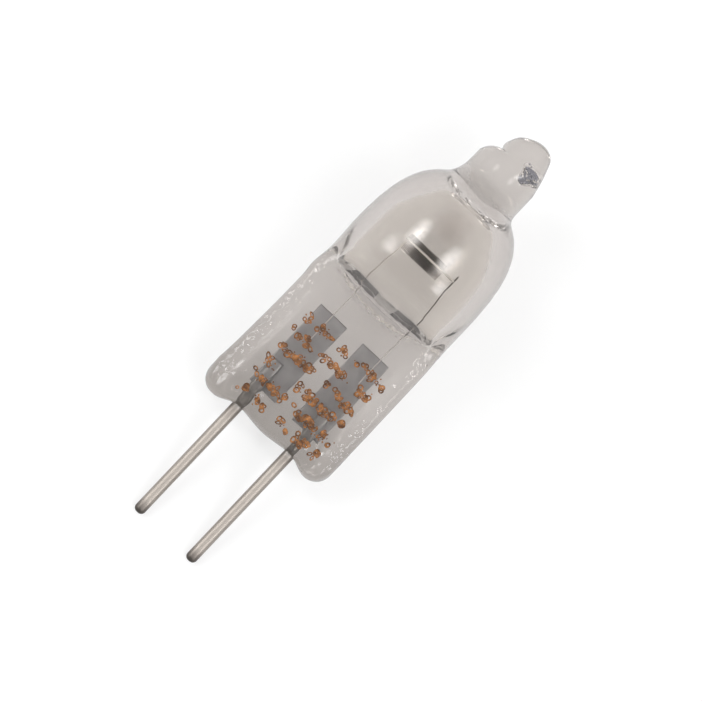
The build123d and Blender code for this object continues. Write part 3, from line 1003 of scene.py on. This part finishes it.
stroke = add_node(tree, "GeometryNodeCurvePrimitiveCircle", {}, {"Resolution": 5, "Radius": given["Stroke"]})
kinds = add_node(tree, "GeometryNodeJoinGeometry")
for sweep in SPECK_SWEEPS:
    bend = add_node(tree, "GeometryNodeCurveArc", {}, {
        "Resolution": 11, "Radius": given["Speck"], "Sweep Angle": math.radians(sweep),
    })
    drawn = add_node(tree, "GeometryNodeCurveToMesh", {}, {
        "Curve": bend.outputs["Curve"], "Profile Curve": stroke.outputs["Curve"], "Fill Caps": True,
    })
    flat = add_node(tree, "GeometryNodeTransform", {}, {
        "Geometry": drawn.outputs["Mesh"], "Scale": SPECK_SQUASH,
    })
    kind = add_node(tree, "GeometryNodeGeometryToInstance", {}, {"Geometry": flat.outputs["Geometry"]})
    tree.links.new(kind.outputs["Instances"], kinds.inputs["Geometry"])
which = add_node(tree, "FunctionNodeRandomValue", {"data_type": "INT"}, {
    4: 0, 5: len(SPECK_SWEEPS) - 1, "Seed": given["Seed"],
})
turn, size = (
    add_node(tree, "FunctionNodeRandomValue", {"data_type": "FLOAT_VECTOR"}, {
        0: least, 1: most, "Seed": given["Seed"],
    })
    for least, most in (((0, 0, 0), (0, 0, 2 * math.pi)), (SPECK_LEAST, SPECK_MOST))
)
specks = add_node(tree, "GeometryNodeInstanceOnPoints", {}, {
    "Points": left.outputs["Geometry"],
    "Instance": kinds.outputs["Geometry"],
    "Pick Instance": True,
    "Instance Index": which.outputs[2],
    "Rotation": turn.outputs["Value"],
    "Scale": size.outputs["Value"],
})
upright = add_node(tree, "GeometryNodeTransform", {}, {
    "Geometry": specks.outputs["Instances"], "Translation": PRINT_MIDDLE, "Rotation": (math.pi / 2, 0, 0),
})
whole = add_node(tree, "GeometryNodeRealizeInstances", {}, {"Geometry": upright.outputs["Geometry"]})
painted = add_node(tree, "GeometryNodeSetMaterial", {}, {
    "Geometry": whole.outputs["Geometry"], "Material": ink,
})
tree.links.new(painted.outputs["Geometry"], result.inputs["Geometry"])
worn_print = tree_piece("worn_print", tree, print_sizes)
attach(worn_print, "root")

# %% [markdown]
# ## Floor and room
# The floor is plain white, and shows as white to the camera, in reflections and through the glass. More
# light would whiten it too, but it would bleach the lamp, so the floor glows a little to those rays alone.
# It still takes light, so it keeps the lamp's shadow. The room is a plain grey, a little paler in
# reflections and through the glass.

# %% Floor and room
FLOOR_HALF = 0.5
FLOOR_GLOW = 0.61
ROOM_LIGHT = 0.5
ROOM_SHOWN = 0.74

floor_mesh = bpy.data.meshes.new("floor")
corners = [(x * FLOOR_HALF, y * FLOOR_HALF, 0) for x, y in ((-1, -1), (1, -1), (1, 1), (-1, 1))]
floor_mesh.from_pydata(corners, [], [(0, 1, 2, 3)])
floor = bpy.data.objects.new("floor", floor_mesh)
bpy.context.scene.collection.objects.link(floor)
floor_paint, tree, shader, on_lamp = start_material(
    "plain_white_floor", Roughness=0.9, Specular_IOR_Level=0.0,
)
shader.inputs["Base Color"].default_value = linear("#a8a8a8")
shader.inputs["Emission Color"].default_value = linear("#ffffff")
path = add_node(tree, "ShaderNodeLightPath")
seen = add_node(tree, "ShaderNodeMath", {"operation": "MAXIMUM"}, {
    0: path.outputs["Is Camera Ray"], 1: path.outputs["Is Glossy Ray"],
})
shown = add_node(tree, "ShaderNodeMath", {"operation": "MAXIMUM"}, {
    0: seen.outputs["Value"], 1: path.outputs["Is Transmission Ray"],
})
glow = add_node(tree, "ShaderNodeMath", {"operation": "MULTIPLY"}, {
    0: shown.outputs["Value"], 1: FLOOR_GLOW,
})
tree.links.new(glow.outputs["Value"], shader.inputs["Emission Strength"])
floor_mesh.materials.append(floor_paint)

world = bpy.data.worlds.new("grey_room")
world.use_nodes = True
tree = world.node_tree
path = add_node(tree, "ShaderNodeLightPath")
shown = add_node(tree, "ShaderNodeMath", {"operation": "MAXIMUM"}, {
    0: path.outputs["Is Glossy Ray"], 1: path.outputs["Is Transmission Ray"],
})
room = add_node(tree, "ShaderNodeMapRange", {}, {
    "Value": shown.outputs["Value"], "To Min": ROOM_LIGHT, "To Max": ROOM_SHOWN,
})
tree.nodes["Background"].inputs["Color"].default_value = linear("#ffffff")
tree.links.new(room.outputs["Result"], tree.nodes["Background"].inputs["Strength"])
bpy.context.scene.world = world
print("floor", 2 * FLOOR_HALF, "m wide, room light", ROOM_LIGHT)

# %% [markdown]
# ## Lights
# Four soft boxes stand round the camera for the highlights on the bulb, two high and two low, and a weak
# key light comes from the camera itself. Each box fades from its middle to its rim, as a lit cloth does, so
# its reflection has no hard edge. A box is placed by two angles from the view axis, and aims at the lamp.

# %% Soft boxes and key
BOX_AIM = Vector((0, 0, 10))
BOX_DISTANCE = 250
KEY_STRENGTH = 0.25
KEY_SPREAD = math.radians(5)


def soft_box(name, across, along, width, height, power):
    """An area light aimed at the bulb, turned from the view axis by two angles in degrees."""
    way = Vector((math.tan(math.radians(across)), -1, math.tan(math.radians(along)))).normalized()
    light = bpy.data.lights.new(name, "AREA")
    light.shape = "RECTANGLE"
    light.size = width * MM
    light.size_y = height * MM
    light.energy = power
    light.use_nodes = True
    tree = light.node_tree
    place = add_node(tree, "ShaderNodeNewGeometry").outputs["Parametric"]
    away = add_node(tree, "ShaderNodeVectorMath", {"operation": "DISTANCE"}, {0: place, 1: (0.5, 0.5, 0)})
    fall = add_node(tree, "ShaderNodeMapRange", {"interpolation_type": "SMOOTHSTEP"}, {
        "Value": away.outputs["Value"], "From Min": 0.0, "From Max": 0.5, "To Min": 1.0, "To Max": 0.0,
    })
    tree.links.new(fall.outputs["Result"], tree.nodes["Emission"].inputs["Strength"])
    lamp = bpy.data.objects.new(name, light)
    aim = LAMP.to_3x3() @ way
    side = lamp_z.cross(aim).normalized()
    turn = Matrix((side, aim.cross(side), aim)).transposed().to_4x4()
    lamp.matrix_world = Matrix.Translation(LAMP_MM @ (BOX_AIM + way * BOX_DISTANCE)) @ turn
    bpy.context.scene.collection.objects.link(lamp)


soft_box("soft_box_left", -35, 16, 150, 110, 0.55)
soft_box("soft_box_right", 29, 16, 150, 110, 0.55)
soft_box("soft_box_low_left", -54, -24, 150, 260, 0.8)
soft_box("soft_box_low_right", 46, -18, 130, 200, 0.6)
key = bpy.data.lights.new("key", "SUN")
key.energy = KEY_STRENGTH
key.angle = KEY_SPREAD
key.cycles.use_multiple_importance_sampling = False
key_lamp = bpy.data.objects.new("key", key)
key_lamp.matrix_world = VIEW_TURN
bpy.context.scene.collection.objects.link(key_lamp)
print("lights:", sorted(light.name for light in bpy.data.lights))
